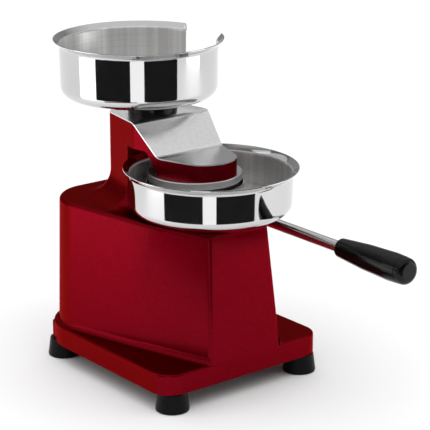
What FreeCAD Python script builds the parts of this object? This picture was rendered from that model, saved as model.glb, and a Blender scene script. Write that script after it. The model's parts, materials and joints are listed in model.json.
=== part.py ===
import FreeCAD, Part
import math
import os
from FreeCAD import Vector as V

# Lever-operated patty press, in millimetres.
# Origin: on the floor, under the axis of the turning lower bowl.
# +Z is up, -Y is the operator's side and +X is the lever's side.

# ---- Driving dimensions ----------------------------------------------------

FOOT_HEIGHT = 20.0
BASE_TOP = 42.0
BASE_HALF_WIDTH = 103.5
BASE_FRONT = -57.5
BASE_REAR = 182.0
BODY_TOP = 172.0
BODY_TOP_SLOPE = 0.042
BODY_FRONT = -44.7
WALL = 5.0
CEILING = BODY_TOP - WALL

ARM_TOP = 269.2
HEAD_TOP = 237.6
HEAD_BOTTOM = 219.5
ARM_UNDERSIDE = 242.0
COVER_THICKNESS = 1.2
SCOOP_RADIUS = 93.0

SHEET = 1.2
LIP_RADIUS = 90.0
BOWL_RADIUS = 84.0
LOWER_BOWL_FILLET = 10.0
UPPER_BOWL_FILLET = 12.0
LOWER_BOWL_BOTTOM = 184.0
LOWER_BOWL_TOP = 229.8
UPPER_BOWL_Y = 122.3
UPPER_BOWL_BOTTOM = 282.0
UPPER_BOWL_TOP = 343.1
NOTCH_FRONT = UPPER_BOWL_Y - 38.6
NOTCH_REAR = UPPER_BOWL_Y + 22.0
NOTCH_FLARE = 10.0
NOTCH_BOTTOM = 302.0
NOTCH_FILLET = 8.0

MOULD_Y = 27.0
MOULD_RADIUS = 49.5
MOULD_WALL = 2.0
MOULD_TOP = 208.5
DISC_RADIUS = 49.1
DISC_THICKNESS = 3.0
PRESS_DISC_BOTTOM = 211.3
STEM_RADIUS = 6.0

LIFT = 22.0
LEVER_SWING = math.radians(30)
RUNNING = 0.05
GAP = 0.3

SPIGOT_RADIUS = 38.25
SPIGOT_BORE = 34.6
SEAT_RADIUS = 44.0
SEAT_TOP = 176.0
TURNTABLE_BOTTOM = 179.0
TURNTABLE_RADIUS = 46.0

LIFT_PLATE_TOP = 156.0
LIFT_PLATE_RADIUS = 34.0
PLUNGER_RADIUS = 9.0
PLUNGER_BOTTOM = 24.0
BRIDGE_BOTTOM = 68.0
BRIDGE_TOP = 98.0
YOKE_BOTTOM = 100.3
YOKE_TOP = 117.0

SHAFT_Y = 50.0
SHAFT_Z = 154.5
SHAFT_RADIUS = 6.0
HUB_X = 80.0
HUB_INNER = 74.0
HUB_RADIUS = 15.0
CRANK_REACH = LIFT / math.sin(LEVER_SWING)
CRANK_PIN_Y = SHAFT_Y + CRANK_REACH * math.cos(LEVER_SWING)
CRANK_PIN_Z = SHAFT_Z - LIFT
ROLLER_RADIUS = 5.0

ROD_RADIUS = 6.0
GRIP_FRONT = -208.0
GRIP_LENGTH = 98.0
CAP_LENGTH = 9.0

FOOT_X = 84.4
FOOT_FRONT = -43.5
FOOT_REAR = 150.3

# Half outlines as (x, y, corner radius), going from the front to the rear.
BODY_FOOT = ((46, BASE_FRONT, 5), (75, 36, 400), (110.8, 169, 43))
BODY_CREST = ((37.7, BODY_FRONT, 5), (68, 29, 300), (106.8, 169, 43))
ARM_NOSE = (0, -30, 34)
ARM_HALF = ((28, -9, 27), (42.1, 34.8, 60), (48.6, 67.3, 8), (37.9, 127, 8))


# ---- Helpers ---------------------------------------------------------------

def level(z):
    """Placer of flat outlines at height z."""
    return lambda x, y: V(x, y, z)


def upright(x):
    """Placer of side profiles, given as (y, z), at the given x."""
    return lambda y, z: V(x, y, z)


def radial(r, z):
    """Placer of turned profiles, given as (radius, height)."""
    return V(r, 0, z)


def mirrored(half):
    """A half outline followed by its mirror image."""
    return list(half) + [(-x, y, r) for x, y, r in reversed(half)]


def rounded_wire(corners, at):
    """A closed wire whose corners (a, b, radius) are rounded by tangent arcs."""
    arcs = []
    for i, (a, b, radius) in enumerate(corners):
        after = corners[(i + 1) % len(corners)]
        here = at(a, b)
        back = (at(*corners[i - 1][:2]) - here).normalize()
        ahead = (at(*after[:2]) - here).normalize()
        half = back.getAngle(ahead) / 2
        reach = radius / math.tan(half)
        middle = here + (back + ahead).normalize() * (radius / math.sin(half) - radius)
        arcs.append((here + back * reach, middle, here + ahead * reach))
    edges = []
    for i, (start, middle, stop) in enumerate(arcs):
        following = arcs[(i + 1) % len(arcs)][0]
        if (stop - start).Length > 1e-6:
            edges.append(Part.Arc(start, middle, stop).toShape())
        if (following - stop).Length > 1e-6:
            edges.append(Part.LineSegment(stop, following).toShape())
    return Part.Wire(edges)


def slab(corners, bottom, top):
    """A flat outline extruded from one height to another."""
    return Part.Face(rounded_wire(corners, level(bottom))).extrude(V(0, 0, top - bottom))


def beam(profile, half_width):
    """A side profile extruded evenly across X."""
    face = Part.Face(rounded_wire(profile, upright(-half_width)))
    return face.extrude(V(2 * half_width, 0, 0))


def turned(profile, x=0, y=0, angle=360):
    """A profile of (radius, height, corner radius) revolved about a vertical axis."""
    solid = Part.Face(rounded_wire(profile, radial)).revolve(V(0, 0, 0), V(0, 0, 1), angle)
    solid.translate(V(x, y, 0))
    return solid


def disc(radius, bottom, top, x=0, y=0):
    return Part.makeCylinder(radius, top - bottom, V(x, y, bottom))


def ring(outer, inner, bottom, top, x=0, y=0):
    return disc(outer, bottom, top, x, y).cut(disc(inner, bottom - 1, top + 1, x, y))


def across(radius, start, stop, y, z):
    """A cylinder along X."""
    return Part.makeCylinder(radius, stop - start, V(start, y, z), V(1, 0, 0))


def rearward(radius, start, stop):
    """A cylinder along +Y at the stop screw's height."""
    return Part.makeCylinder(radius, stop - start, V(0, start, STOP_SCREW_Z), V(0, 1, 0))


def block(x0, x1, y0, y1, z0, z1):
    return Part.makeBox(x1 - x0, y1 - y0, z1 - z0, V(x0, y0, z0))


def circle_points(count, radius, y=0, first=90):
    """Points spread evenly round a circle about (0, y)."""
    for i in range(count):
        turn = math.radians(first + 360 * i / count)
        yield radius * math.cos(turn), y + radius * math.sin(turn)


def middle_of(edge):
    return edge.valueAt((edge.FirstParameter + edge.LastParameter) / 2)


def flat_edges(shape, z, within=lambda p: True):
    """The edges that lie at height z and whose middle point is within the region."""
    found = []
    for edge in shape.Edges:
        box = edge.BoundBox
        if abs(box.ZMin - z) < 1e-3 and abs(box.ZMax - z) < 1e-3 and within(middle_of(edge)):
            found.append(edge)
    return found


def placed(shape, x, y, z, up):
    """The shape turned over unless it points up, then moved to its place."""
    if not up:
        shape.rotate(V(0, 0, 0), V(1, 0, 0), 180)
    shape.translate(V(x, y, z))
    return shape


def pan_screw(x, y, seat, shank, length, up=True):
    """A pan-head screw seated at height seat, its head above it or, if not up, below."""
    head_radius, head = 1.9 * shank, 1.3 * shank
    profile = [(0, 0, 0), (head_radius, 0, 0), (head_radius, head, 0.7 * head), (0, head, 0)]
    screw = turned(profile).fuse(disc(shank, -length, 0.0))
    slot = block(-head_radius, head_radius, -0.3 * shank, 0.3 * shank, 0.6 * head, 2 * head)
    return placed(screw.cut(slot), x, y, seat, up)


def flush_shape(shank, length):
    """Shank and cone of a flush screw, its flat at height 0."""
    head = shank * 0.95
    return turned([(0, -length, 0), (shank, -length, 0), (shank, -head, 0), (1.9 * shank, 0, 0),
                   (0, 0, 0)])


def countersunk_screw(x, y, face, shank, length, up=True):
    """A flush screw whose head's flat lies at height face."""
    hex_socket = Part.Face(Part.makePolygon([
        V(shank * math.cos(k * math.pi / 3), shank * math.sin(k * math.pi / 3), -0.8 * shank)
        for k in range(7)])).extrude(V(0, 0, 2 * shank))
    return placed(flush_shape(shank, length).cut(hex_socket), x, y, face, up)


def countersink(x, y, face, shank, length, up=True):
    """The hole that a flush screw fills exactly."""
    return placed(flush_shape(shank, length), x, y, face, up)


def group(shapes):
    return Part.makeCompound(list(shapes))


def export(shape, node):
    shape.exportStep("parts/" + node + ".step")


# ---- Fastener places -------------------------------------------------------

COVER_SCREWS = ((-30, 92), (30, 92))
PRESS_DISC_SCREWS = ((-22, 12), (22, 12))
SPACER_Y = 99.0
SPACER_SCREWS = tuple(circle_points(3, 15, SPACER_Y))
CARRIER_SCREWS = tuple(circle_points(4, 42, first=45))
FEET = {
    "foot_front_left": (-FOOT_X, FOOT_FRONT),
    "foot_front_right": (FOOT_X, FOOT_FRONT),
    "foot_rear_left": (-FOOT_X, FOOT_REAR),
    "foot_rear_right": (FOOT_X, FOOT_REAR),
}
STOP_SCREW_RADIUS = 1.5
STOP_SCREW_Z = 174.0
STOP_SCREW_TIP = SPIGOT_RADIUS - 1.4


# ---- Casting ---------------------------------------------------------------

def top_line(drop):
    """The arm's top profile from rear to front, lowered squarely by drop."""
    slope = math.atan2(ARM_TOP - HEAD_TOP, 67.3 - 34.8)
    shift = drop * math.tan(slope / 2)
    bend = 10.0
    return [(150, ARM_TOP - drop, 0),
            (67.3 + shift, ARM_TOP - drop, bend - drop),
            (34.8 + shift, HEAD_TOP - drop, bend + drop),
            (-40, HEAD_TOP - drop, 0)]


def arm_outline():
    return slab([ARM_NOSE] + mirrored(ARM_HALF), CEILING - 8, ARM_TOP + 10)


def arm_solid():
    """Column, arm and head in one, scooped at the front to clear the lower bowl."""
    under = [(-40, HEAD_BOTTOM, 0), (34, HEAD_BOTTOM, 6), (50, ARM_UNDERSIDE, 8),
             (60, ARM_UNDERSIDE, 0), (60, CEILING - 6, 0), (150, CEILING - 6, 0)]
    solid = arm_outline().common(beam(top_line(COVER_THICKNESS) + under, 80))
    scoop = disc(SCOOP_RADIUS, 100, ARM_UNDERSIDE)
    return solid.cut(scoop.common(block(-100, 100, 52, 132, 100, ARM_UNDERSIDE)))


def body_top(drop):
    """Placer of outlines on the body's top, which rises towards the rear, less a drop."""
    return lambda x, y: V(x, y, BODY_TOP - drop + BODY_TOP_SLOPE * (y - BODY_FRONT))


def shrunk(half, inset):
    """A body half outline moved inwards all round."""
    front, side, rear = half
    return [(front[0] - 0.75 * inset, front[1] + inset, front[2]),
            (side[0] - 1.05 * inset, side[1], side[2]),
            (rear[0] - 1.3 * inset, rear[1] - inset, rear[2] - inset)]


def body_loft(inset, bottom):
    """The tapering body from its foot to its crest or, with an inset, its hollow."""
    lower = rounded_wire(mirrored(shrunk(BODY_FOOT, inset)), level(BASE_TOP))
    upper = rounded_wire(mirrored(shrunk(BODY_CREST, inset)), body_top(inset))
    foot = Part.Face(lower).extrude(V(0, 0, bottom - BASE_TOP))
    return Part.makeLoft([lower, upper], True, True).fuse(foot).removeSplitter()


def base_solid(inset, bottom, top):
    half = ((BASE_HALF_WIDTH - inset, BASE_FRONT + inset, 22 - inset),
            (BASE_HALF_WIDTH - inset, BASE_REAR - inset, 60 - inset))
    return slab(mirrored(half), bottom, top)


def crest_edges(shape, within):
    """The edges that lie in the body's top and whose middle point is within the region."""
    top = body_top(0)

    def on_top(point):
        return abs(point.z - top(point.x, point.y).z) < 1e-3
    return [edge for edge in shape.Edges if on_top(middle_of(edge)) and within(middle_of(edge))
            and all(on_top(vertex.Point) for vertex in edge.Vertexes)]


def cast_shell():
    """Outer skin with its large fillets, then the hollows open to below."""
    solid = base_solid(0, FOOT_HEIGHT, BASE_TOP)
    solid = solid.makeFillet(2.5, flat_edges(solid, BASE_TOP, lambda p: p.y > -50))
    solid = solid.fuse([body_loft(0, BASE_TOP - 4), arm_solid()]).removeSplitter()
    column_foot = crest_edges(solid, lambda p: abs(p.x) < 50 and 60 < p.y < 130)
    solid = solid.makeFillet(28, column_foot)
    crest = crest_edges(solid, lambda p: abs(p.x) > 60 or p.y > 160 or p.y < -35)
    solid = solid.makeFillet(4.5, crest)
    solid = solid.cut([body_loft(WALL, FOOT_HEIGHT - 1),
                       base_solid(WALL, FOOT_HEIGHT - 1, BASE_TOP - WALL)])
    column_core = slab(mirrored(((33, 101, 6), (31, 120, 6))), CEILING - 1, 236)
    arm_pocket = slab(mirrored(((38, 74, 6), (33, 88, 6))), 250, ARM_TOP + 1)
    return solid.cut([column_core, arm_pocket])


def inner_bosses():
    """Bosses for the shaft, the plunger's guide, the turntable, clips and feet."""
    boss = HUB_RADIUS + 2.4
    inner = 50.0
    right = across(boss, inner, HUB_INNER - 0.5, SHAFT_Y, SHAFT_Z)
    solids = [right.common(block(0, 200, 0, 200, 0, CEILING)),
              across(14, -70, -inner, SHAFT_Y, SHAFT_Z),
              block(-58, 58, -5, 5, BRIDGE_BOTTOM, BRIDGE_TOP),
              disc(19, BRIDGE_BOTTOM, BRIDGE_TOP),
              disc(SEAT_RADIUS, BODY_TOP - 1, SEAT_TOP)]
    solids += [disc(12, FOOT_HEIGHT, BASE_TOP - WALL + 1, x, y) for x, y in FEET.values()]
    return solids


def make_cast_body():
    solid = cast_shell().fuse(inner_bosses())
    solid = solid.cut([
        disc(SPIGOT_RADIUS, CEILING - 8, SEAT_TOP + 1),
        across(9, 40, HUB_INNER + 1, SHAFT_Y, SHAFT_Z),
        across(HUB_RADIUS + 0.6, HUB_INNER - 0.5, 100, SHAFT_Y, SHAFT_Z),
        across(9, -66.5, -40, SHAFT_Y, SHAFT_Z),
        disc(13, BRIDGE_BOTTOM - 1, BRIDGE_TOP + 1),
        rearward(STOP_SCREW_RADIUS, SPIGOT_RADIUS - 1, SEAT_RADIUS + 5)])
    drills = [disc(2.5, FOOT_HEIGHT - 1, 34, x, y) for x, y in FEET.values()]
    drills += [countersink(x, y, ARM_TOP, 2, 14) for x, y in COVER_SCREWS]
    drills += [disc(2, HEAD_BOTTOM - 1, HEAD_BOTTOM + 11, x, y) for x, y in PRESS_DISC_SCREWS]
    drills += [disc(2.5, ARM_TOP - 12, ARM_TOP, x, y) for x, y in SPACER_SCREWS]
    export(solid.cut(drills).removeSplitter(), "cast_body")


# ---- Pieces fixed to the casting ---------------------------------------------

def make_arm_cover():
    strip = top_line(0) + list(reversed(top_line(COVER_THICKNESS)))
    plate = arm_outline().common(beam(strip, 80))
    holes = [countersink(x, y, ARM_TOP, 2, 14) for x, y in COVER_SCREWS]
    holes += [disc(2.5, ARM_TOP - 5, ARM_TOP + 1, x, y) for x, y in SPACER_SCREWS]
    export(plate.cut(holes), "arm_cover_plate")
    export(group(countersunk_screw(x, y, ARM_TOP, 2, 14) for x, y in COVER_SCREWS),
           "cover_screws")


def make_press_disc():
    edge = 1.5
    profile = [(0, PRESS_DISC_BOTTOM, 0), (MOULD_RADIUS - 0.5, PRESS_DISC_BOTTOM, edge),
               (MOULD_RADIUS - 0.5, HEAD_BOTTOM, edge), (0, HEAD_BOTTOM, 0)]
    plate = turned(profile, 0, MOULD_Y)
    holes = [countersink(x, y, PRESS_DISC_BOTTOM, 2, 18, False) for x, y in PRESS_DISC_SCREWS]
    export(plate.cut(holes), "press_disc")
    export(group(countersunk_screw(x, y, PRESS_DISC_BOTTOM, 2, 18, False)
                 for x, y in PRESS_DISC_SCREWS), "press_disc_screws")


def bowl(bottom, top, y, fillet):
    """A drawn sheet bowl with a rounded foot and an outward lip."""
    foot = BOWL_RADIUS - 1.0
    inner = BOWL_RADIUS - SHEET
    lip_foot = top - 6
    profile = [(0, bottom, 0), (foot, bottom, fillet), (BOWL_RADIUS, lip_foot, 4),
               (LIP_RADIUS, top - 1.0, 0), (LIP_RADIUS, top, 0), (LIP_RADIUS - 1.0, top, 0),
               (inner, lip_foot, 4), (foot - SHEET, bottom + SHEET, fillet - SHEET),
               (0, bottom + SHEET, 0)]
    return turned(profile, 0, y)


def make_upper_bowl():
    floor = UPPER_BOWL_BOTTOM + SHEET
    above = UPPER_BOWL_TOP + 2
    outline = [(NOTCH_FRONT, NOTCH_BOTTOM, NOTCH_FILLET), (NOTCH_REAR, NOTCH_BOTTOM, NOTCH_FILLET),
               (NOTCH_REAR, UPPER_BOWL_TOP - 6, 0), (NOTCH_REAR + NOTCH_FLARE, above, 0),
               (NOTCH_FRONT, above, 0)]
    lever_side = block(45, 120, 0, 200, NOTCH_BOTTOM - 1, above)
    notch = beam(outline, 120).common(lever_side)
    dish = bowl(UPPER_BOWL_BOTTOM, UPPER_BOWL_TOP, UPPER_BOWL_Y, UPPER_BOWL_FILLET).cut(notch)
    holes = [disc(2.5, UPPER_BOWL_BOTTOM - 1, floor + 1, x, y) for x, y in SPACER_SCREWS]
    export(dish.cut(holes), "upper_bowl")
    spacer = disc(26, ARM_TOP, UPPER_BOWL_BOTTOM, 0, SPACER_Y)
    holes = [disc(2.5, ARM_TOP - 1, UPPER_BOWL_BOTTOM + 1, x, y) for x, y in SPACER_SCREWS]
    export(spacer.cut(holes), "upper_bowl_spacer")
    length = floor - ARM_TOP + 11
    export(group(pan_screw(x, y, floor, 2.5, length) for x, y in SPACER_SCREWS),
           "upper_bowl_screws")


def make_turntable_seat():
    """The thrust ring under the turntable, and the screw that limits its turn."""
    export(ring(SEAT_RADIUS, SPIGOT_RADIUS + 0.5, SEAT_TOP, TURNTABLE_BOTTOM - GAP), "thrust_ring")
    export(rearward(STOP_SCREW_RADIUS, STOP_SCREW_TIP, SEAT_RADIUS + 2), "stop_screw")


def make_bushes():
    inner = PLUNGER_RADIUS + RUNNING
    guide = ring(13, inner, BRIDGE_BOTTOM, BRIDGE_TOP).fuse(
        ring(17, inner, BRIDGE_TOP, BRIDGE_TOP + 2))
    export(guide, "plunger_guide_bush")
    inner = SHAFT_RADIUS + RUNNING
    for node, start, stop in (("shaft_bush_right", 50, HUB_INNER - 0.5), ("shaft_bush_left", -66.5, -50)):
        bush = across(9, start, stop, SHAFT_Y, SHAFT_Z)
        export(bush.cut(across(inner, start - 1, stop + 1, SHAFT_Y, SHAFT_Z)), node)


def make_feet():
    screw_seat = 7.0
    profile = [(0, 0, 0), (17.7, 0, 1.5), (15, FOOT_HEIGHT, 1), (0, FOOT_HEIGHT, 0)]
    screws = []
    for node, (x, y) in FEET.items():
        foot = turned(profile, x, y).cut([disc(6, -1, screw_seat, x, y),
                                          disc(2.5, -1, FOOT_HEIGHT + 1, x, y)])
        export(foot, node)
        screws.append(pan_screw(x, y, screw_seat, 2.5, 27, False))
    export(group(screws), "foot_screws")


# ---- Turning bowl ------------------------------------------------------------

def make_turntable():
    """Carrier disc and spigot, with the half-turn groove that the stop screw rides in."""
    top = LOWER_BOWL_BOTTOM
    outer = SPIGOT_RADIUS - RUNNING
    solid = disc(TURNTABLE_RADIUS, TURNTABLE_BOTTOM, top)
    solid = solid.fuse(ring(outer, SPIGOT_BORE, CEILING, TURNTABLE_BOTTOM))
    half_height = STOP_SCREW_RADIUS + GAP
    floor = STOP_SCREW_TIP - GAP
    profile = [(floor, STOP_SCREW_Z - half_height, 0), (outer + 1, STOP_SCREW_Z - half_height, 0),
               (outer + 1, STOP_SCREW_Z + half_height, 0), (floor, STOP_SCREW_Z + half_height, 0)]
    end_room = math.degrees(half_height / outer)
    groove = turned(profile, angle=180 + 2 * end_room)
    groove.rotate(V(0, 0, 0), V(0, 0, 1), -90 - end_room)
    screw_holes = [countersink(x, y, top + SHEET, 1.5, 5) for x, y in CARRIER_SCREWS]
    solid = solid.cut([groove, disc(9, TURNTABLE_BOTTOM - 1, top + 1, 0, MOULD_Y)] + screw_holes)
    export(solid.removeSplitter(), "turntable")
    export(ring(9, STEM_RADIUS + RUNNING, TURNTABLE_BOTTOM, top, 0, MOULD_Y), "stem_bush")


def make_lower_bowl():
    floor = LOWER_BOWL_BOTTOM + SHEET
    holes = [countersink(x, y, floor, 1.5, 5) for x, y in CARRIER_SCREWS]
    holes.append(disc(STEM_RADIUS + RUNNING, LOWER_BOWL_BOTTOM - 1, floor + 1, 0, MOULD_Y))
    dish = bowl(LOWER_BOWL_BOTTOM, LOWER_BOWL_TOP, 0, LOWER_BOWL_FILLET)
    export(dish.cut(holes), "lower_bowl")
    export(group(countersunk_screw(x, y, floor, 1.5, 5) for x, y in CARRIER_SCREWS),
           "lower_bowl_screws")
    outer = MOULD_RADIUS + MOULD_WALL
    mould = turned([(MOULD_RADIUS, floor, 0), (outer, floor, 0), (outer, MOULD_TOP, 0.6),
                    (MOULD_RADIUS, MOULD_TOP, 0.6)], 0, MOULD_Y)
    seated = mould.cut(dish)
    export(max(seated.Solids, key=lambda solid: solid.Volume), "mould_ring")


def make_piston():
    bottom = LOWER_BOWL_BOTTOM + SHEET + 0.5
    top = bottom + DISC_THICKNESS
    seat = 1.0
    plate = turned([(0, bottom, 0), (DISC_RADIUS, bottom, 1.2), (DISC_RADIUS, top, 0.6), (0, top, 0)],
                   0, MOULD_Y)
    tenon = disc(4, bottom - 1, top - seat, 0, MOULD_Y)
    export(plate.cut(tenon), "mould_piston")
    stem = disc(STEM_RADIUS, LIFT_PLATE_TOP + GAP + 2, bottom, 0, MOULD_Y)
    export(stem.fuse(disc(4, bottom, top - seat, 0, MOULD_Y)), "piston_stem")
    pad = turned([(0, LIFT_PLATE_TOP + GAP, 0), (STEM_RADIUS, LIFT_PLATE_TOP + GAP, 1),
                  (STEM_RADIUS, LIFT_PLATE_TOP + GAP + 2, 0), (0, LIFT_PLATE_TOP + GAP + 2, 0)],
                 0, MOULD_Y)
    export(pad, "stem_pad")


# ---- Lift mechanism ------------------------------------------------------------

def make_plunger():
    """Central rod with the lift plate on top and the spring washer at its foot."""
    plate_bottom = LIFT_PLATE_TOP - 4
    neck = 6.0
    rod = disc(PLUNGER_RADIUS, PLUNGER_BOTTOM + 7, plate_bottom)
    rod = rod.fuse([disc(4, PLUNGER_BOTTOM, PLUNGER_BOTTOM + 7), disc(neck, plate_bottom, LIFT_PLATE_TOP)])
    pin_z = (YOKE_BOTTOM + YOKE_TOP) / 2
    rod = rod.cut([across(2, -30, 30, 0, pin_z), countersink(0, 0, LIFT_PLATE_TOP, 2, 12)])
    export(rod, "plunger_rod")
    plate = turned([(neck, plate_bottom, 0), (LIFT_PLATE_RADIUS, plate_bottom, 0.8),
                    (LIFT_PLATE_RADIUS, LIFT_PLATE_TOP, 0.8), (neck, LIFT_PLATE_TOP, 0)])
    export(plate, "lift_plate")
    export(countersunk_screw(0, 0, LIFT_PLATE_TOP, 2, 12), "lift_plate_screw")
    export(ring(16, 4, PLUNGER_BOTTOM + 4, PLUNGER_BOTTOM + 7), "spring_washer")
    export(ring(6.5, 4, PLUNGER_BOTTOM, PLUNGER_BOTTOM + 4), "plunger_nut")


def make_yoke():
    """Bar clamped on the plunger, with a slotted ear that the crank's roller lifts."""
    slide = CRANK_REACH * (1 - math.cos(LEVER_SWING)) / 2
    cam_error = LIFT / 2 - CRANK_REACH * math.sin(LEVER_SWING / 2)
    slot_z = CRANK_PIN_Z + cam_error / 2
    half_height = ROLLER_RADIUS + abs(cam_error) / 2 + GAP
    slot_y = CRANK_PIN_Y + slide
    bar = block(-8, 8, 0, slot_y + 14, YOKE_BOTTOM, YOKE_TOP).fuse(disc(16, YOKE_BOTTOM, YOKE_TOP))
    ear = block(-6, 6, slot_y - 14, slot_y + 14, YOKE_BOTTOM, slot_z + half_height + 4)
    slot = block(-9, 9, slot_y - slide, slot_y + slide, slot_z - half_height, slot_z + half_height)
    ends = [across(half_height, -9, 9, y, slot_z) for y in (slot_y - slide, slot_y + slide)]
    pin_z = (YOKE_BOTTOM + YOKE_TOP) / 2
    yoke = bar.fuse(ear).cut([slot, disc(PLUNGER_RADIUS, YOKE_BOTTOM - 1, YOKE_TOP + 1)] + ends)
    export(yoke.cut(across(2, -30, 30, 0, pin_z)).removeSplitter(), "yoke")
    export(across(2, -15.5, 15.5, 0, pin_z), "yoke_pin")


def make_return_spring():
    """Compression spring round the plunger's foot, between the guide and the washer."""
    wire_radius = 1.1
    coil_radius = 12.5
    coils = 6
    steps = 20
    low = PLUNGER_BOTTOM + 7 + wire_radius + 0.1
    high = BRIDGE_BOTTOM - wire_radius - 0.1
    sections = []
    for i in range(coils * steps + 1):
        z = low + (high - low) * i / (coils * steps)
        section = Part.makeCircle(wire_radius, V(coil_radius, 0, z), V(0, 1, 0))
        section.rotate(V(0, 0, 0), V(0, 0, 1), 360 * i / steps)
        sections.append(Part.Wire(section))
    spring = Part.makeLoft(sections, True, True)
    export(spring, "return_spring")


# ---- Lever -------------------------------------------------------------------

def make_shaft():
    start, stop = -65.0, 85.0
    shaft = across(SHAFT_RADIUS, start, stop, SHAFT_Y, SHAFT_Z)
    hub_pin = disc(2.5, SHAFT_Z - 20, SHAFT_Z + 20, HUB_X, SHAFT_Y)
    crank_pin = disc(2, SHAFT_Z - 20, SHAFT_Z + 20, 11, SHAFT_Y)
    export(shaft.cut([hub_pin, crank_pin]), "lever_shaft")
    collars = []
    screws = []
    for x in (-46, 44):
        hole = disc(1.5, SHAFT_Z, SHAFT_Z + 20, x, SHAFT_Y)
        collar = across(11, x - 3.5, x + 3.5, SHAFT_Y, SHAFT_Z)
        collars.append(collar.cut([across(SHAFT_RADIUS, x - 5, x + 5, SHAFT_Y, SHAFT_Z), hole]))
        screws.append(disc(1.5, SHAFT_Z + SHAFT_RADIUS, SHAFT_Z + 10.5, x, SHAFT_Y))
    export(group(collars), "shaft_collars")
    export(group(screws), "collar_screws")


def make_crank():
    """Fork on the shaft whose two arms carry the roller's pin."""
    boss = 11.5
    arm_half = 7.5
    plates = []
    for x0, x1 in ((-14, -7), (7, 14)):
        reach = V(0, CRANK_PIN_Y - SHAFT_Y, CRANK_PIN_Z - SHAFT_Z)
        side = V(0, -reach.z, reach.y).normalize()
        shaft_at = V(x0, SHAFT_Y, SHAFT_Z)
        pin_at = shaft_at + reach
        corners = [shaft_at + side * arm_half, pin_at + side * arm_half,
                   pin_at - side * arm_half, shaft_at - side * arm_half]
        web = Part.Face(Part.makePolygon(corners + corners[:1])).extrude(V(x1 - x0, 0, 0))
        plates += [web, across(arm_half, x0, x1, CRANK_PIN_Y, CRANK_PIN_Z)]
    fork = across(boss, -14, 14, SHAFT_Y, SHAFT_Z).fuse(plates)
    key = disc(2, SHAFT_Z - 20, SHAFT_Z + 20, 11, SHAFT_Y)
    fork = fork.cut([across(SHAFT_RADIUS, -20, 20, SHAFT_Y, SHAFT_Z),
                     across(3, -20, 20, CRANK_PIN_Y, CRANK_PIN_Z), key])
    export(fork.removeSplitter(), "crank_fork")
    export(disc(2, SHAFT_Z - boss + 0.8, SHAFT_Z + boss - 0.8, 11, SHAFT_Y), "crank_key_pin")
    export(across(3, -15, 15, CRANK_PIN_Y, CRANK_PIN_Z), "crank_pin")
    roller = across(ROLLER_RADIUS, -6.5, 6.5, CRANK_PIN_Y, CRANK_PIN_Z)
    export(roller.cut(across(3, -8, 8, CRANK_PIN_Y, CRANK_PIN_Z)), "crank_roller")


def along_lever(profile):
    """A profile of (radius, distance from the hub, corner radius) turned about the rod."""
    solid = turned(profile)
    solid.rotate(V(0, 0, 0), V(1, 0, 0), 90)
    solid.translate(V(HUB_X, SHAFT_Y, SHAFT_Z))
    return solid


def make_lever():
    rod_start = 24.0
    grip_end = SHAFT_Y - GRIP_FRONT
    grip_start = grip_end - GRIP_LENGTH
    cap_start = grip_end - CAP_LENGTH
    rod_end = cap_start - 12
    hub = across(HUB_RADIUS, HUB_INNER, 86, SHAFT_Y, SHAFT_Z)
    hub = hub.fuse([along_lever([(0, 0, 0), (ROD_RADIUS, 0, 0), (ROD_RADIUS, 20, 0), (0, 20, 0)]),
                    along_lever([(0, 18, 0), (8, 18, 1), (8, 38, 1.5), (0, 38, 0)])])
    hub = hub.cut([across(SHAFT_RADIUS, 70, 85, SHAFT_Y, SHAFT_Z),
                   along_lever([(0, rod_start, 0), (ROD_RADIUS, rod_start, 0), (ROD_RADIUS, 40, 0),
                                (0, 40, 0)]),
                   disc(2.5, SHAFT_Z - 20, SHAFT_Z + 20, HUB_X, SHAFT_Y)])
    export(hub.removeSplitter(), "lever_hub")
    export(disc(2.5, SHAFT_Z - 13.5, SHAFT_Z + 13.5, HUB_X, SHAFT_Y), "hub_pin")
    rod = along_lever([(0, rod_start, 0), (ROD_RADIUS, rod_start, 0), (ROD_RADIUS, rod_end, 1),
                       (0, rod_end, 0)])
    export(rod, "lever_rod")
    bore = along_lever([(0, 0, 0), (ROD_RADIUS, 0, 0), (ROD_RADIUS, rod_end, 0), (0, rod_end, 0)])
    grip = along_lever([(0, grip_start, 0), (10, grip_start, 1.2), (10.4, grip_start + 5, 3),
                        (13.2, grip_start + 38, 90), (14.6, cap_start - 14, 60), (14.0, cap_start, 0.5),
                        (0, cap_start, 0)])
    export(grip.cut(bore), "grip")
    cap = along_lever([(0, cap_start, 0), (14.0, cap_start, 0.5), (13.0, grip_end, 5.5), (0, grip_end, 0)])
    export(cap, "grip_end_cap")


os.makedirs("parts", exist_ok=True)
make_cast_body()
make_arm_cover()
make_press_disc()
make_upper_bowl()
make_turntable_seat()
make_bushes()
make_feet()
make_turntable()
make_lower_bowl()
make_piston()
make_plunger()
make_yoke()
make_return_spring()
make_shaft()
make_crank()
make_lever()
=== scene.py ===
import json
import math

import bmesh
import bpy
from mathutils import Matrix, Vector


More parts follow.
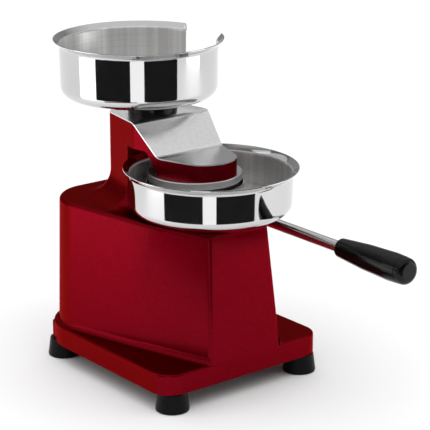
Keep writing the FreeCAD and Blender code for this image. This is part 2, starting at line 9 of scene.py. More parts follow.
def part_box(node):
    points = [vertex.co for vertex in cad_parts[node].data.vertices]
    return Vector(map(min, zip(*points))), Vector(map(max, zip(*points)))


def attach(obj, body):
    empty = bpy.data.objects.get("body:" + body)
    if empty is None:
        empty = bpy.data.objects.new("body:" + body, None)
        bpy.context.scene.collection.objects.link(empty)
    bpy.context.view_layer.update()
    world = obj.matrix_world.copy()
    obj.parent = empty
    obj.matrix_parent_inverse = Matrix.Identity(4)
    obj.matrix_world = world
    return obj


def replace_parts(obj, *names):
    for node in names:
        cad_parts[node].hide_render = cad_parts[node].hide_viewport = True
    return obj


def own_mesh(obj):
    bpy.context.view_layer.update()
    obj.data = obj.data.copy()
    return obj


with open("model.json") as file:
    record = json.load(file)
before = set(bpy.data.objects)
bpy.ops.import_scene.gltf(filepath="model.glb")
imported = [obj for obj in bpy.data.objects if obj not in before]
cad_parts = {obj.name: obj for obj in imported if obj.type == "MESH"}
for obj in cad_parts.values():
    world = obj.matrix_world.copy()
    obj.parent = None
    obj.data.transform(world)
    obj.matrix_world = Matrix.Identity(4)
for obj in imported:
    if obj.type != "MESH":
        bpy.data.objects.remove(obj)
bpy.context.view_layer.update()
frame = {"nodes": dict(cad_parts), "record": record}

MM = 0.001
WELD = 0.000002            # m: vertices nearer than this become one
scene = bpy.context.scene
nodes = frame["nodes"]
body_of_node = {node: body for body, members in frame["record"]["behaviour"]["bodies"].items()
                for node in members}


# ---- Shader groups -----------------------------------------------------------

LINE_STRETCH = 0.00015     # m of pattern for each radian: the smaller, the longer the hair lines
PAINTED_REFLECTION_BANDS_AROUND = 4.0         # pattern for each radian of the broad bright and dark stripes of painted reflection on the bowls' insides
RUBBED_GAIN = 9.0
NOISE_LOW, NOISE_HIGH = 0.3, 0.7    # where most of a noise's values lie


def node_group(name, inputs, outputs):
    """An empty shader group with float inputs (name, default) and named outputs."""
    group = bpy.data.node_groups.new(name, "ShaderNodeTree")
    for label, default in inputs:
        socket = group.interface.new_socket(label, in_out="INPUT", socket_type="NodeSocketFloat")
        socket.default_value = default
    for label in outputs:
        group.interface.new_socket(label, in_out="OUTPUT", socket_type="NodeSocketFloat")
    return group, group.nodes.new("NodeGroupInput"), group.nodes.new("NodeGroupOutput")


def maths(tree, operation, first, second=None):
    """A Math node fed by sockets or plain numbers."""
    node = tree.nodes.new("ShaderNodeMath")
    node.operation = operation
    for slot, value in enumerate((first, second)):
        if value is None:
            continue
        if isinstance(value, (int, float)):
            node.inputs[slot].default_value = value
        else:
            tree.links.new(value, node.inputs[slot])
    return node.outputs[0]


def object_place(tree):
    return tree.nodes.new("ShaderNodeTexCoord").outputs["Object"]


def noise(tree, place, scale, detail=2.0, roughness=0.5):
    node = tree.nodes.new("ShaderNodeTexNoise")
    tree.links.new(place, node.inputs["Vector"])
    if isinstance(scale, (int, float)):
        node.inputs["Scale"].default_value = scale
    else:
        tree.links.new(scale, node.inputs["Scale"])
    node.inputs["Detail"].default_value = detail
    node.inputs["Roughness"].default_value = roughness
    return node.outputs["Fac"]


def make_grain_group():
    """Fine grain for bump, and broad cloudy patches where hands and cloths have been."""
    tree, given, out = node_group(
        "grain and smears", [("Grain Scale", 900.0), ("Smear Scale", 14.0)], ["Grain", "Smears"])
    place = object_place(tree)
    grain = noise(tree, place, given.outputs["Grain Scale"], detail=3.0, roughness=0.6)
    smears = noise(tree, place, given.outputs["Smear Scale"], detail=4.0, roughness=0.55)
    tree.links.new(grain, out.inputs["Grain"])
    tree.links.new(smears, out.inputs["Smears"])
    return tree


def make_brushing_and_painted_reflection_group():
    """Hair lines that run round an upright axis, as a bowl polished on a wheel has them, and broad
    stripes round the same axis that are painted reflection of the surroundings.
    """
    tree, given, out = node_group(
        "brushed rings and painted reflection bands", [("Line Scale", 2600.0), ("Axis Y", 0.0)], ["Lines", "Painted Reflection Bands"])
    split = tree.nodes.new("ShaderNodeSeparateXYZ")
    tree.links.new(object_place(tree), split.inputs[0])
    y = maths(tree, "SUBTRACT", split.outputs["Y"], given.outputs["Axis Y"])
    square = maths(tree, "ADD", maths(tree, "MULTIPLY", split.outputs["X"], split.outputs["X"]),
                   maths(tree, "MULTIPLY", y, y))
    radius = maths(tree, "SQRT", square)
    turn = maths(tree, "ARCTAN2", y, split.outputs["X"])
    ring = tree.nodes.new("ShaderNodeCombineXYZ")
    tree.links.new(radius, ring.inputs["X"])
    tree.links.new(maths(tree, "MULTIPLY", turn, LINE_STRETCH), ring.inputs["Y"])
    tree.links.new(split.outputs["Z"], ring.inputs["Z"])
    lines = noise(tree, ring.outputs[0], given.outputs["Line Scale"], detail=3.0, roughness=0.7)
    tree.links.new(lines, out.inputs["Lines"])
    # Painted reflection: broad light and dark stripes round the axis stand in for the surroundings
    # mirrored in the steel.
    around = tree.nodes.new("ShaderNodeCombineXYZ")
    tree.links.new(maths(tree, "MULTIPLY", turn, PAINTED_REFLECTION_BANDS_AROUND), around.inputs["X"])
    painted_reflection_bands = noise(tree, around.outputs[0], 1.0, detail=5.0, roughness=0.7)
    tree.links.new(painted_reflection_bands, out.inputs["Painted Reflection Bands"])
    return tree


def make_flake_group():
    """Flakes of bright pigment under the paint, and the slow roll of its skin."""
    tree, given, out = node_group(
        "paint flake", [("Flake Scale", 1800.0), ("Skin Scale", 160.0)], ["Flake", "Skin"])
    place = object_place(tree)
    cells = tree.nodes.new("ShaderNodeTexVoronoi")
    tree.links.new(place, cells.inputs["Vector"])
    tree.links.new(given.outputs["Flake Scale"], cells.inputs["Scale"])
    split = tree.nodes.new("ShaderNodeSeparateColor")
    tree.links.new(cells.outputs["Color"], split.inputs[0])
    tree.links.new(split.outputs[0], out.inputs["Flake"])
    skin = noise(tree, place, given.outputs["Skin Scale"], detail=2.0, roughness=0.4)
    tree.links.new(skin, out.inputs["Skin"])
    return tree


def make_wear_group():
    """A mask of corners rubbed bare, from how sharply the surface turns."""
    tree, given, out = node_group(
        "rubbed edges", [("Reach", 0.5), ("Break Up", 300.0)], ["Wear"])
    shape = tree.nodes.new("ShaderNodeNewGeometry")
    spots = noise(tree, object_place(tree), given.outputs["Break Up"], detail=4.0, roughness=0.7)
    sharp = maths(tree, "SUBTRACT", shape.outputs["Pointiness"], given.outputs["Reach"])
    lifted = maths(tree, "MULTIPLY", maths(tree, "MAXIMUM", sharp, 0.0), RUBBED_GAIN)
    worn = maths(tree, "MULTIPLY", lifted, spots)
    tree.links.new(maths(tree, "MINIMUM", worn, 1.0), out.inputs["Wear"])
    return tree


GRAIN = make_grain_group()
BRUSHING_AND_PAINTED_REFLECTION = make_brushing_and_painted_reflection_group()
FLAKE = make_flake_group()
WEAR = make_wear_group()


# ---- Finishes ------------------------------------------------------------------

def shader(name, colour, **sockets):
    """A material with one Principled shader, its plain values set on its own sockets."""
    material = bpy.data.materials.new(name)
    material.use_nodes = True
    principled = material.node_tree.nodes["Principled BSDF"]
    principled.inputs["Base Color"].default_value = (*colour, 1)
    for label, value in sockets.items():
        principled.inputs[label.replace("_", " ")].default_value = value
    return material, material.node_tree, principled


def placed(tree, group, **values):
    node = tree.nodes.new("ShaderNodeGroup")
    node.node_tree = group
    for label, value in values.items():
        node.inputs[label.replace("_", " ")].default_value = value
    return node


def spread(tree, factor, low, high):
    """A noise's usual values stretched to the range low to high."""
    node = tree.nodes.new("ShaderNodeMapRange")
    tree.links.new(factor, node.inputs["Value"])
    node.inputs["From Min"].default_value = NOISE_LOW
    node.inputs["From Max"].default_value = NOISE_HIGH
    node.inputs["To Min"].default_value = low
    node.inputs["To Max"].default_value = high
    return node.outputs["Result"]


def blended(tree, factor, first, second):
    """A colour between first and second by a factor that changes over the surface."""
    node = tree.nodes.new("ShaderNodeMix")
    node.data_type = "RGBA"
    tree.links.new(factor, node.inputs["Factor"])
    for label, colour in (("A", first), ("B", second)):
        socket = next(s for s in node.inputs if s.name == label and s.type == "RGBA")
        if isinstance(colour, tuple):
            socket.default_value = (*colour, 1)
        else:
            tree.links.new(colour, socket)
    return next(s for s in node.outputs if s.type == "RGBA")


def bumped(tree, principled, height, strength, distance, under=None):
    node = tree.nodes.new("ShaderNodeBump")
    node.inputs["Strength"].default_value = strength
    node.inputs["Distance"].default_value = distance
    tree.links.new(height, node.inputs["Height"])
    if under is not None:
        tree.links.new(under, node.inputs["Normal"])
    tree.links.new(node.outputs["Normal"], principled.inputs["Normal"])
    return node.outputs["Normal"]


def red_paint():
    """Deep metallic red on the casting, with a soft satin gloss."""
    material, tree, principled = shader(
        "metallic red paint", (0.17, 0.0006, 0.003), Metallic=1.0, Roughness=0.34,
        Specular_Tint=(0.9, 0.03, 0.06, 1), Coat_Weight=0.04, Coat_Roughness=0.15)
    flake = placed(tree, FLAKE)
    smears = placed(tree, GRAIN, Smear_Scale=9.0)
    pigment = blended(tree, flake.outputs["Flake"],
                      (0.13, 0.0004, 0.0036), (0.22, 0.0015, 0.0105))
    tree.links.new(pigment, principled.inputs["Base Color"])
    satin = spread(tree, smears.outputs["Smears"], 0.29, 0.36)
    tree.links.new(satin, principled.inputs["Roughness"])
    skin = bumped(tree, principled, flake.outputs["Skin"], 0.10, 0.0004)
    bumped(tree, principled, flake.outputs["Flake"], 0.06, 0.00005, skin)
    return material


def polished_steel():
    """Mirror-polished sheet on the outside of the bowls."""
    material, tree, principled = shader(
        "polished sheet steel", (0.60, 0.60, 0.61), Metallic=1.0, Roughness=0.04)
    smears = placed(tree, GRAIN, Smear_Scale=22.0, Grain_Scale=1600.0)
    sheen = spread(tree, smears.outputs["Smears"], 0.03, 0.06)
    tree.links.new(sheen, principled.inputs["Roughness"])
    tint = blended(tree, smears.outputs["Smears"], (0.57, 0.57, 0.575), (0.62, 0.62, 0.625))
    tree.links.new(tint, principled.inputs["Base Color"])
    bumped(tree, principled, smears.outputs["Grain"], 0.02, 0.00002)
    return material


def brushed_steel_with_painted_reflection(name, axis_y):
    """Satin inside of a bowl, brushed in rings round its own axis; its colour swings between dark
    and light in broad stripes round that axis, a painted reflection.
    """
    material, tree, principled = shader(name, (0.8, 0.8, 0.8), Metallic=0.72, Roughness=0.3)
    rings = placed(tree, BRUSHING_AND_PAINTED_REFLECTION, Axis_Y=axis_y)
    # Painted reflection: the base colour goes from dark grey to near white in broad stripes round
    # the bowl's axis.
    painted_reflection_bands = spread(tree, rings.outputs["Painted Reflection Bands"], 0.0, 1.0)
    tint = blended(tree, painted_reflection_bands, (0.48, 0.475, 0.46), (0.97, 0.97, 0.965))
    tree.links.new(tint, principled.inputs["Base Color"])
    satin = spread(tree, rings.outputs["Lines"], 0.26, 0.38)
    tree.links.new(satin, principled.inputs["Roughness"])
    bumped(tree, principled, rings.outputs["Lines"], 0.03, 0.00005)
    return material


def satin_aluminium(name, low, high):
    """Rolled or cast aluminium with a fine, even satin."""
    material, tree, principled = shader(name, (0.7, 0.7, 0.7), Metallic=1.0, Roughness=low)
    grain = placed(tree, GRAIN, Grain_Scale=1500.0, Smear_Scale=16.0)
    wear = placed(tree, WEAR, Reach=0.52)
    satin = spread(tree, grain.outputs["Smears"], low, high)
    tree.links.new(satin, principled.inputs["Roughness"])
    tint = blended(tree, grain.outputs["Grain"], (0.62, 0.62, 0.625), (0.72, 0.72, 0.72))
    tree.links.new(blended(tree, wear.outputs["Wear"], tint, (0.88, 0.88, 0.88)),
                   principled.inputs["Base Color"])
    bumped(tree, principled, grain.outputs["Grain"], 0.08, 0.00004)
    return material


def machine_metal(name, colour, low, high):
    """Turned or ground metal for shafts, screws, bushes and springs."""
    material, tree, principled = shader(name, colour, Metallic=1.0, Roughness=low)
    grain = placed(tree, GRAIN, Grain_Scale=2200.0, Smear_Scale=60.0)
    wear = placed(tree, WEAR, Reach=0.53, Break_Up=900.0)
    ground = spread(tree, grain.outputs["Smears"], low, high)
    tree.links.new(ground, principled.inputs["Roughness"])
    darker = tuple(part * 0.8 for part in colour)
    lighter = tuple(min(1.0, part * 1.2) for part in colour)
    tint = blended(tree, grain.outputs["Smears"], darker, colour)
    tree.links.new(blended(tree, wear.outputs["Wear"], tint, lighter),
                   principled.inputs["Base Color"])
    bumped(tree, principled, grain.outputs["Grain"], 0.08, 0.00003)
    return material


def moulded_finish(name, colour, low, high, grain_scale, depth, shine):
    """Plastic or rubber as it comes from a mould, a little dusty in patches."""
    material, tree, principled = shader(name, colour, Roughness=low, Specular_IOR_Level=shine)
    grain = placed(tree, GRAIN, Grain_Scale=grain_scale, Smear_Scale=30.0)
    moulded = spread(tree, grain.outputs["Smears"], low, high)
    tree.links.new(moulded, principled.inputs["Roughness"])
    dusty = tuple(part * 1.7 + 0.0008 for part in colour)
    tree.links.new(blended(tree, grain.outputs["Smears"], colour, dusty),
                   principled.inputs["Base Color"])
    bumped(tree, principled, grain.outputs["Grain"], depth, 0.00006)
    return material


FINISHES = {
    "red_paint": red_paint(),
    "stainless": polished_steel(),
    "polished_aluminium": satin_aluminium("satin aluminium", 0.24, 0.34),
    "screw_steel": machine_metal("plated screws", (0.62, 0.62, 0.63), 0.18, 0.34),
    "machined_steel": machine_metal("machined steel", (0.46, 0.46, 0.47), 0.24, 0.4),
    "spring_steel": machine_metal("spring wire", (0.30, 0.30, 0.32), 0.26, 0.42),
    "bronze": machine_metal("bronze bearing metal", (0.58, 0.36, 0.16), 0.26, 0.42),
    "chrome": machine_metal("chromed rod", (0.86, 0.86, 0.88), 0.16, 0.24),
    "nylon": moulded_finish(
        "white nylon", (0.62, 0.61, 0.57), 0.38, 0.5, grain_scale=1200.0, depth=0.08, shine=0.5),
    "black_plastic": moulded_finish(
        "gloss black plastic", (0.0015, 0.0015, 0.0017), 0.10, 0.20, grain_scale=1400.0,
        depth=0.03, shine=0.22),
    "rubber": moulded_finish(
        "black rubber", (0.003, 0.003, 0.0033), 0.26, 0.38, grain_scale=1800.0, depth=0.12,
        shine=0.09),
}

OWN_FINISH = {
    "arm_cover_plate": satin_aluminium("satin cover sheet", 0.19, 0.26),
}


# ---- Making pieces ---------------------------------------------------------------

SHARP_EDGE = 32            # degrees between faces, past which the edge stays a hard line


def slot_of(node):
    """The record's material slot for a node."""
    return next(part["material_slot"] for part in frame["record"]["subparts"]
                if part["node"] == node)


def object_from(bm, name, *materials):
    """Puts a finished bmesh in the scene as an object."""
    mesh = bpy.data.meshes.new(name)
    bm.to_mesh(mesh)
    bm.free()
    obj = bpy.data.objects.new(name, mesh)
    scene.collection.objects.link(obj)
    for material in materials:
        mesh.materials.append(material)
    return obj


def shade(obj):
    """Smooth faces, with a hard line wherever two of them meet at a sharp edge."""
    bm = bmesh.new()
    bm.from_mesh(obj.data)
    for face in bm.faces:
        face.smooth = True
    for edge in bm.edges:
        flat = edge.calc_face_angle(0) < math.radians(SHARP_EDGE)
        edge.smooth = len(edge.link_faces) == 2 and flat
    bm.to_mesh(obj.data)
    bm.free()
    even = obj.modifiers.new("even shading", "WEIGHTED_NORMAL")
    even.keep_sharp = True


def settle(bm, name, node, materials=None):
    """Makes the object from a bmesh, finishes it as the node and hangs it on the node's body."""
    bmesh.ops.remove_doubles(bm, verts=bm.verts, dist=WELD)
    bmesh.ops.recalc_face_normals(bm, faces=bm.faces)
    own = [OWN_FINISH.get(node) or FINISHES[slot_of(node)]]
    obj = object_from(bm, name, *(materials or own))
    shade(obj)
    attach(obj, body_of_node[node])
    return obj


def half_angle(before, here, after):
    """Half the angle at a corner between its two neighbours, given in the corner's plane."""
    back = Vector(before) - Vector(here)
    return back.angle(Vector(after) - Vector(here)) / 2


def round_corner(bm, vert, rounding, half, segments):
    """Rounds one corner of a wire to a radius of rounding mm."""
    bmesh.ops.bevel(bm, geom=[vert], offset=rounding * MM / math.tan(half), offset_type="OFFSET",
                    affect="VERTICES", profile=0.5, material=-1, segments=segments)


def turned(corners, centre=(0, 0, 0), closed=False, steps=96, lay=None):
    """Spins a profile of (radius, height, corner radius) in mm about an upright axis."""
    bm = bmesh.new()
    profile = [bm.verts.new((radius * MM, 0, height * MM)) for radius, height, _ in corners]
    pairs = list(zip(profile, profile[1:])) + ([(profile[-1], profile[0])] if closed else [])
    for first, second in pairs:
        bm.edges.new((first, second))
    for index, (radius, height, rounding) in enumerate(corners):
        if rounding:
            before, after = corners[index - 1], corners[(index + 1) % len(corners)]
            half = half_angle(before[:2], (radius, height), after[:2])
            round_corner(bm, profile[index], rounding, half,
                         segments=max(2, min(10, round(rounding * 1.5))))
    bmesh.ops.spin(bm, geom=bm.verts[:] + bm.edges[:], cent=(0, 0, 0), axis=(0, 0, 1),
                   angle=2 * math.pi, steps=steps, use_merge=True)
    if lay:
        bmesh.ops.transform(bm, matrix=lay, verts=bm.verts)
    bmesh.ops.translate(bm, vec=Vector(centre) * MM, verts=bm.verts)
    return bm


def merged_copy(node):
    """A welded copy of the node's mesh, ready for smooth shading."""
    bm = bmesh.new()
    bm.from_mesh(nodes[node].data)
    bmesh.ops.remove_doubles(bm, verts=bm.verts, dist=WELD)
    return bm


def cutter(bm):
    """A closed shape that only cuts others."""
    bmesh.ops.recalc_face_normals(bm, faces=bm.faces)
    return object_from(bm, "cutter")


def cut_away(bm, tools):
    """The bmesh with every tool's shape cut out of it."""
    work = cutter(bm)
    for tool in tools:
        cut = work.modifiers.new("cut", "BOOLEAN")
        cut.operation = "DIFFERENCE"
        cut.solver = "EXACT"
        cut.object = tool
    depsgraph = bpy.context.evaluated_depsgraph_get()
    result = bmesh.new()
    result.from_mesh(work.evaluated_get(depsgraph).to_mesh())
    for obj in [work] + list(tools):
        bpy.data.objects.remove(obj)
    return result


def pin_tool(radius, bottom, top, x, y):
    """Cuts a round hole."""
    return cutter(turned([(0, bottom, 0), (radius, bottom, 0), (radius, top, 0), (0, top, 0)],
                         (x, y, 0), steps=32))


# ---- Bowls ---------------------------------------------------------------------

# All in mm.
SHEET = 1.2
BOWL_FOOT, BOWL_WALL, BOWL_LIP = 83.0, 84.0, 90.0    # radii of the bowls' corners
LIP_DROP, LIP_BEND = 6.0, 4.0
BOWL_STEPS = 192
LOWER_Y, LOWER_BOTTOM, LOWER_TOP, LOWER_FILLET = 0.0, 184.0, 229.8, 10.0
UPPER_Y, UPPER_BOTTOM, UPPER_TOP, UPPER_FILLET = 122.3, 282.0, 343.1, 12.0
NOTCH_FRONT, NOTCH_REAR = UPPER_Y - 38.6, UPPER_Y + 22.0
NOTCH_BOTTOM, NOTCH_FILLET, NOTCH_FLARE = 302.0, 8.0, 10.0
NOTCH_FROM, NOTCH_DEPTH = 45.0, 75.0                 # along x, out through the lever's side
MOULD_Y = 27.0
STEM_HOLE, SCREW_HOLE = 6.05, 2.5                    # radii of the holes in the bowls' floors
HOLE_REACH = 5.0                                     # how far a cutter stands past the sheet
BRUSHED_MARGIN = 3.0                                 # from the lip's top and the floor's underside


def bowl_shell(bottom, top, fillet, y):
    """Drawn sheet with a rounded foot and an outward lip whose edge is broken."""
    lip_start = top - LIP_DROP
    corners = [(0, bottom, 0), (BOWL_FOOT, bottom, fillet), (BOWL_WALL, lip_start, LIP_BEND),
               (BOWL_LIP, top - 1, 0.3), (BOWL_LIP, top, 0.35), (BOWL_LIP - 1, top, 0.3),
               (BOWL_WALL - SHEET, lip_start, LIP_BEND),
               (BOWL_FOOT - SHEET, bottom + SHEET, fillet - SHEET), (0, bottom + SHEET, 0)]
    return turned(corners, (0, y, 0), steps=BOWL_STEPS)


def brush_inside(bm, y, bottom, top):
    """The second material goes to the inside of the bowl, up to where the lip starts."""
    for face in bm.faces:
        middle = face.calc_center_median()
        out = Vector((middle.x, middle.y - y * MM, 0))
        inward = face.normal.dot(out.normalized()) < -0.2 if out.length > 0.001 else False
        on_floor = face.normal.z > 0.5 and middle.z < (bottom + BRUSHED_MARGIN) * MM
        if (inward and middle.z < (top - BRUSHED_MARGIN) * MM) or on_floor:
            face.material_index = 1


def floor_hole(radius, bottom, x, y):
    """Cuts a round hole through the floor of a bowl."""
    return pin_tool(radius, bottom - HOLE_REACH, bottom + HOLE_REACH, x, y)


def finish_bowl(bm, name, node, y, bottom, top):
    """Polished outside, brushed inside, in place of the node."""
    bmesh.ops.recalc_face_normals(bm, faces=bm.faces)
    brush_inside(bm, y, bottom, top)
    inside = brushed_steel_with_painted_reflection("brushed steel with painted reflection, " + node.replace("_", " "), y * MM)
    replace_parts(settle(bm, name, node, [FINISHES["stainless"], inside]), node)


def make_lower_bowl():
    shell = bowl_shell(LOWER_BOTTOM, LOWER_TOP, LOWER_FILLET, LOWER_Y)
    bm = cut_away(shell, [floor_hole(STEM_HOLE, LOWER_BOTTOM, 0, MOULD_Y)])
    finish_bowl(bm, "lower_bowl_shell", "lower_bowl", LOWER_Y, LOWER_BOTTOM, LOWER_TOP)


def notch_tool():
    """A side profile with two rounded lower corners and a flared rear edge, pushed through x."""
    bm = bmesh.new()
    outline = [bm.verts.new(Vector((NOTCH_FROM, across, height)) * MM) for across, height in (
        (NOTCH_FRONT, NOTCH_BOTTOM), (NOTCH_REAR, NOTCH_BOTTOM), (NOTCH_REAR, UPPER_TOP - LIP_DROP),
        (NOTCH_REAR + NOTCH_FLARE, UPPER_TOP + 2), (NOTCH_FRONT, UPPER_TOP + 2))]
    bm.faces.new(outline)
    bmesh.ops.bevel(bm, geom=outline[:2], offset=NOTCH_FILLET * MM, offset_type="OFFSET",
                    affect="VERTICES", segments=8, profile=0.5, material=-1)
    grown = bmesh.ops.extrude_face_region(bm, geom=bm.faces[:])["geom"]
    bmesh.ops.translate(bm, vec=(NOTCH_DEPTH * MM, 0, 0),
                        verts=[part for part in grown if isinstance(part, bmesh.types.BMVert)])
    return cutter(bm)


def make_upper_bowl():
    shell = bowl_shell(UPPER_BOTTOM, UPPER_TOP, UPPER_FILLET, UPPER_Y)
    screws = [floor_hole(SCREW_HOLE, UPPER_BOTTOM, x, y)
              for x, y in screw_middles("upper_bowl_screws")]
    finish_bowl(cut_away(shell, [notch_tool()] + screws), "upper_bowl_shell", "upper_bowl",
                UPPER_Y, UPPER_BOTTOM, UPPER_TOP)


def screw_middles(node):
    """Middles, in mm and in a fixed order, of the separate screws that share one node."""
    bm = merged_copy(node)
    middles = []
    left = set(bm.verts)
    while left:
        island, edge = set(), [left.pop()]
        while edge:
            vert = edge.pop()
            island.add(vert)
            for link in vert.link_edges:
                other = link.other_vert(vert)
                if other in left:
                    left.remove(other)
                    edge.append(other)
        xs = [v.co.x for v in island]
        ys = [v.co.y for v in island]
        middles.append(((min(xs) + max(xs)) / 2 / MM, (min(ys) + max(ys)) / 2 / MM))
    bm.free()
    return sorted(middles)


make_lower_bowl()
make_upper_bowl()


# ---- Turned pieces ---------------------------------------------------------------

def turned_piece(name, node, corners, centre=(0, 0, 0), **how):
    """Takes a node's place with a turned shape."""
    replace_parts(settle(turned(corners, centre, **how), name, node), node)


def flat_ring(inner, outer, bottom, top, foot_edge, outer_edge, inner_edge=0):
    """Corners of a ring or disc with a hole, with the roundings of its edges."""
    return [(inner, bottom, 0), (outer, bottom, foot_edge), (outer, top, outer_edge),
            (inner, top, inner_edge)]


MOULD = (0, MOULD_Y, 0)
turned_piece("mould_wall", "mould_ring", flat_ring(49.5, 51.5, 185.2, 208.5, 0, 0.6, 0.6), MOULD,
             closed=True, steps=144)
turned_piece("piston_plate", "mould_piston", flat_ring(4, 49.1, 185.7, 188.7, 1.2, 0.6), MOULD,
             closed=True, steps=144)
turned_piece("lift_disc", "lift_plate", flat_ring(6, 34, 152, 156, 0.8, 0.8), closed=True)

FOOT_X, FOOT_FRONT, FOOT_REAR = 84.4, -43.5, 150.3
FOOT_PROFILE = [(6, 0, 0.4), (17.7, 0, 1.6), (15, 20, 1.0), (2.5, 20, 0), (2.5, 7, 0), (6, 7, 0)]
for corner, x, y in (("front_left", -FOOT_X, FOOT_FRONT), ("front_right", FOOT_X, FOOT_FRONT),
                     ("rear_left", -FOOT_X, FOOT_REAR), ("rear_right", FOOT_X, FOOT_REAR)):
    turned_piece("rubber_foot_" + corner, "foot_" + corner, FOOT_PROFILE, (x, y, 0), closed=True,
                 steps=72)

# Distances along the rod are from the shaft's axis towards the front.
LEVER = (80, 50, 154.5)
FORWARD = Matrix.Rotation(math.pi / 2, 4, "X")
ROD_START, ROD_RADIUS = 24.0, 6.0
GRIP_END = 258.0
GRIP_START = GRIP_END - 98.0
CAP_START, CAP_RADIUS = GRIP_END - 9.0, 14.0
ROD_END = CAP_START - 12.0
turned_piece("chrome_rod", "lever_rod",
             [(0, ROD_START, 0), (ROD_RADIUS, ROD_START, 0), (ROD_RADIUS, ROD_END, 1),
              (0, ROD_END, 0)], LEVER, lay=FORWARD, steps=64)
turned_piece("grip_body", "grip",
             [(0, ROD_END, 0), (ROD_RADIUS, ROD_END, 0), (ROD_RADIUS, GRIP_START, 0),
              (10, GRIP_START, 1.2), (10.4, GRIP_START + 5, 3), (13.2, GRIP_START + 38, 90),
              (14.6, CAP_START - 14, 60), (CAP_RADIUS, CAP_START, 0.6), (0, CAP_START, 0)],
             LEVER, lay=FORWARD, steps=80)
turned_piece("grip_cap", "grip_end_cap",
             [(0, CAP_START, 0), (CAP_RADIUS, CAP_START, 0.6), (CAP_RADIUS - 1, GRIP_END, 5.5),
              (0, GRIP_END, 0)], LEVER, lay=FORWARD, steps=80)


def make_spring():
    """Round wire wound in an even helix."""
    low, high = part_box("return_spring")
    wire, coil_radius = 1.1 * MM, 12.5 * MM
    coils, per_coil = 6, 28
    rise = (high[2] - low[2] - 2 * wire) / (coils * per_coil)
    bm = bmesh.new()
    start = Matrix.Translation((coil_radius, 0, low[2] + wire)) @ FORWARD
    bmesh.ops.create_circle(bm, cap_ends=False, radius=wire, segments=12, matrix=start)
    bmesh.ops.spin(bm, geom=bm.verts[:] + bm.edges[:], cent=(0, 0, 0), axis=(0, 0, 1),
                   dvec=(0, 0, rise), angle=2 * math.pi * coils, steps=coils * per_coil)
    bmesh.ops.holes_fill(bm, edges=bm.edges)
    obj = settle(bm, "spring_wire", "return_spring")
    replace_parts(obj, "return_spring")
    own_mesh(obj)


make_spring()


# ---- Casting -----------------------------------------------------------------------

BASE_TOP, BASE_FRONT, BASE_REAR, BASE_SIDE = 42.0, -57.5, 182.0, 103.5
BASE_CORNER, BASE_EDGE = 60.0, 2.5                   # roundings of its rear corners and rim
FRONT_LEAN = 0.098                                   # slope of the body's front
SIDE_LEAN = 0.055                                    # slope of the body's sides
BODY_OUTLINE = [(46, BASE_FRONT, 5), (75, 36, 400), (110.8, 169, 43)]
FILLET_RADIUS, FILLET_ROWS = 6.5, 6
TUCKED_IN = (-0.05, -0.06)                           # last row, hidden inside the casting


def ledge_at(x, y):
    """Width of the base's flat ledge outside the body, in mm, less the base's own edge rounding."""
    across, back = abs(x) - (BASE_SIDE - BASE_CORNER), y - (BASE_REAR - BASE_CORNER)
    if across > 0 and back > 0:
        return BASE_CORNER - math.hypot(across, back) - BASE_EDGE
    return min(BASE_SIDE - abs(x), BASE_REAR - y) - BASE_EDGE


def make_foot_fillet():
    """The soft hollow where the body rises from the base, narrower where the ledge is narrow."""
    corners = BODY_OUTLINE + [(-x, y, r) for x, y, r in reversed(BODY_OUTLINE)]
    bm = bmesh.new()
    verts = [bm.verts.new((x * MM, y * MM, BASE_TOP * MM)) for x, y, _ in corners]
    for first, second in zip(verts, verts[1:]):
        bm.edges.new((first, second))
    for index in range(1, len(corners) - 1):
        before, (x, y, rounding), after = corners[index - 1:index + 2]
        half = half_angle(before[:2], (x, y), after[:2])
        round_corner(bm, verts[index], rounding, half, segments=14)
    bmesh.ops.subdivide_edges(bm, edges=[e for e in bm.edges if e.calc_length() > 20 * MM], cuts=8)
    chain = path_order(bm, Vector((corners[0][0], corners[0][1], BASE_TOP)) * MM)
    places = [vert.co.copy() for vert in chain]
    outward = []
    for index in range(len(places)):
        along = places[min(index + 1, len(places) - 1)] - places[max(index - 1, 0)]
        outward.append(Vector((along.y, -along.x, 0)).normalized())
    reach = [max(0.3, min(FILLET_RADIUS, ledge_at(p.x / MM, p.y / MM))) * MM for p in places]
    section = [(1 - math.cos(a), 1 - math.sin(a)) for a in
               (math.pi / 2 * row / FILLET_ROWS for row in range(FILLET_ROWS + 1))] + [TUCKED_IN]
    row_edges = list(bm.edges)
    current = chain
    for step, (out, up) in enumerate(section):
        if step:
            grown = bmesh.ops.extrude_edge_only(bm, edges=row_edges)["geom"]
            fresh = [g for g in grown if isinstance(g, bmesh.types.BMVert)]
            row_edges = [g for g in grown if isinstance(g, bmesh.types.BMEdge)
                         and all(v in fresh for v in g.verts)]
            current = [next(e.other_vert(old) for e in old.link_edges if e.other_vert(old) in fresh)
                       for old in current]
        for vert, place, normal, size in zip(current, places, outward, reach):
            vert.co = place + normal * (out - SIDE_LEAN * up) * size + Vector((0, 0, up * size))
    first_edges = [e for e in bm.edges if all(v in chain for v in e.verts)]
    bmesh.ops.bridge_loops(bm, edges=first_edges + row_edges)
    bmesh.ops.bisect_plane(bm, geom=bm.verts[:] + bm.edges[:] + bm.faces[:], clear_inner=True,
                           plane_co=(0, BASE_FRONT * MM, BASE_TOP * MM),
                           plane_no=(0, 1, -FRONT_LEAN))
    bmesh.ops.holes_fill(bm, edges=bm.edges)
    settle(bm, "body_foot_fillet", "cast_body")


def path_order(bm, start):
    """The vertices of an open wire, in order from the end nearest to start."""
    ends = [v for v in bm.verts if len(v.link_edges) == 1]
    here = min(ends, key=lambda v: (v.co - start).length)
    chain, seen = [here], {here}
    while True:
        ahead = [e.other_vert(here) for e in here.link_edges if e.other_vert(here) not in seen]
        if not ahead:
            return chain
        here = ahead[0]
        seen.add(here)
        chain.append(here)


make_foot_fillet()


# ---- Pieces that keep their shape and get a smooth welded surface --------------------

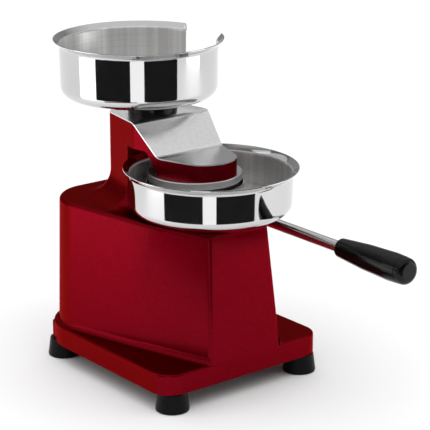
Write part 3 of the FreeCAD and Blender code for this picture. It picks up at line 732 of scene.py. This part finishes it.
reshaped = {"lower_bowl", "upper_bowl", "mould_ring", "mould_piston", "lift_plate",
            "foot_front_left", "foot_front_right", "foot_rear_left", "foot_rear_right",
            "lever_rod", "grip", "grip_end_cap", "return_spring"}
for node in sorted(set(nodes) - reshaped):
    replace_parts(settle(merged_copy(node), node + "_surface", node), node)


# ---- Floor, light and camera ---------------------------------------------------------

def plain(name, colour, strength=0.0):
    """A matt material for the studio, lit from within if strength is above 0."""
    material, _, principled = shader(name, colour, Roughness=0.9)
    principled.inputs["Emission Color"].default_value = (1, 1, 1, 1)
    principled.inputs["Emission Strength"].default_value = strength
    return material


def make_floor(size):
    bm = bmesh.new()
    bmesh.ops.create_grid(bm, x_segments=1, y_segments=1, size=size / 2)
    object_from(bm, "floor", plain("pale floor", (0.9, 0.9, 0.9)))


make_floor(14)

BLACK = plain("black flag", (0.002, 0.002, 0.002))
BRIGHT = plain("bright strip", (0.0, 0.0, 0.0), strength=1.45)
FLAG_RADIUS = 0.45                                   # m from the bowl's axis
VIEW_TURN = 38.5                                     # degrees from the front to the viewing side


def curved_flag(name, centre_y, start, stop, bottom, top, material):
    """A panel round a bowl's axis, seen only in polish, its angles from the viewing side."""
    bm = bmesh.new()
    low, high = (bm.verts.new((0, -FLAG_RADIUS, height)) for height in (bottom, top))
    bm.edges.new((low, high))
    bmesh.ops.rotate(bm, verts=bm.verts, cent=(0, 0, 0),
                     matrix=Matrix.Rotation(math.radians(start - VIEW_TURN), 3, "Z"))
    bmesh.ops.spin(bm, geom=bm.verts[:] + bm.edges[:], cent=(0, 0, 0), axis=(0, 0, 1),
                   angle=math.radians(stop - start), steps=24)
    bmesh.ops.translate(bm, verts=bm.verts, vec=(0, centre_y, 0))
    obj = object_from(bm, name, material)
    obj.visible_camera = obj.visible_diffuse = False
    obj.visible_shadow = obj.visible_transmission = False


for level, centre_y, bottom, top, left, strip_left, strip_right, right in (
        ("low", LOWER_Y * MM, 0.045, 0.112, -63, -10.5, 6.5, 58),
        ("high", UPPER_Y * MM, 0.14, 0.26, -57, -9, 9, 54)):
    curved_flag("flag_" + level + "_left", centre_y, left, strip_left, bottom, top, BLACK)
    curved_flag("flag_" + level + "_right", centre_y, strip_right, right, bottom, top, BLACK)
    curved_flag("strip_" + level, centre_y, strip_left, strip_right, bottom, top, BRIGHT)


def softbox(name, place, aim, width, height, power):
    """A rectangular light at place, turned to face aim."""
    light = bpy.data.lights.new(name, "AREA")
    light.shape = "RECTANGLE"
    light.size, light.size_y, light.energy = width, height, power
    obj = bpy.data.objects.new(name, light)
    obj.location = place
    obj.rotation_euler = (Vector(aim) - Vector(place)).to_track_quat("-Z", "Y").to_euler()
    scene.collection.objects.link(obj)


softbox("left softbox", (-0.62, 0.30, 0.16), (-0.08, 0.07, 0.10), 0.45, 0.6, 0.95)
softbox("right softbox", (0.9, -0.75, 0.35), (0.05, -0.05, 0.12), 0.6, 0.8, 1.6)

overhead = bpy.data.objects.new("overhead light", bpy.data.lights.new("overhead light", "SUN"))
overhead.data.energy = 1.75
overhead.data.angle = math.radians(100)
overhead.visible_glossy = False
scene.collection.objects.link(overhead)

world = bpy.data.worlds.new("studio")
scene.world = world
world.use_nodes = True
sky = world.node_tree
height = sky.nodes.new("ShaderNodeSeparateXYZ")
sky.links.new(sky.nodes.new("ShaderNodeTexCoord").outputs["Generated"], height.inputs[0])
ceiling = sky.nodes.new("ShaderNodeMapRange")
for label, value in (("From Min", 0.45), ("From Max", 0.8), ("To Min", 0.30), ("To Max", 0.85)):
    ceiling.inputs[label].default_value = value
sky.links.new(height.outputs["Z"], ceiling.inputs["Value"])
background = sky.nodes["Background"]
background.inputs["Color"].default_value = (1, 1, 1, 1)
sky.links.new(ceiling.outputs["Result"], background.inputs["Strength"])

scene.view_settings.view_transform = "Standard"

camera = bpy.data.objects.new("camera", bpy.data.cameras.new("camera"))
scene.collection.objects.link(camera)
camera.data.sensor_width = 36
camera.data.lens = 150.02
camera.location = (-1.08896, -1.37298, 0.72589)
looked_at = Vector((0, -0.00626, 0.17927))
camera.rotation_euler = (looked_at - camera.location).to_track_quat("-Z", "Y").to_euler()
scene.camera = camera
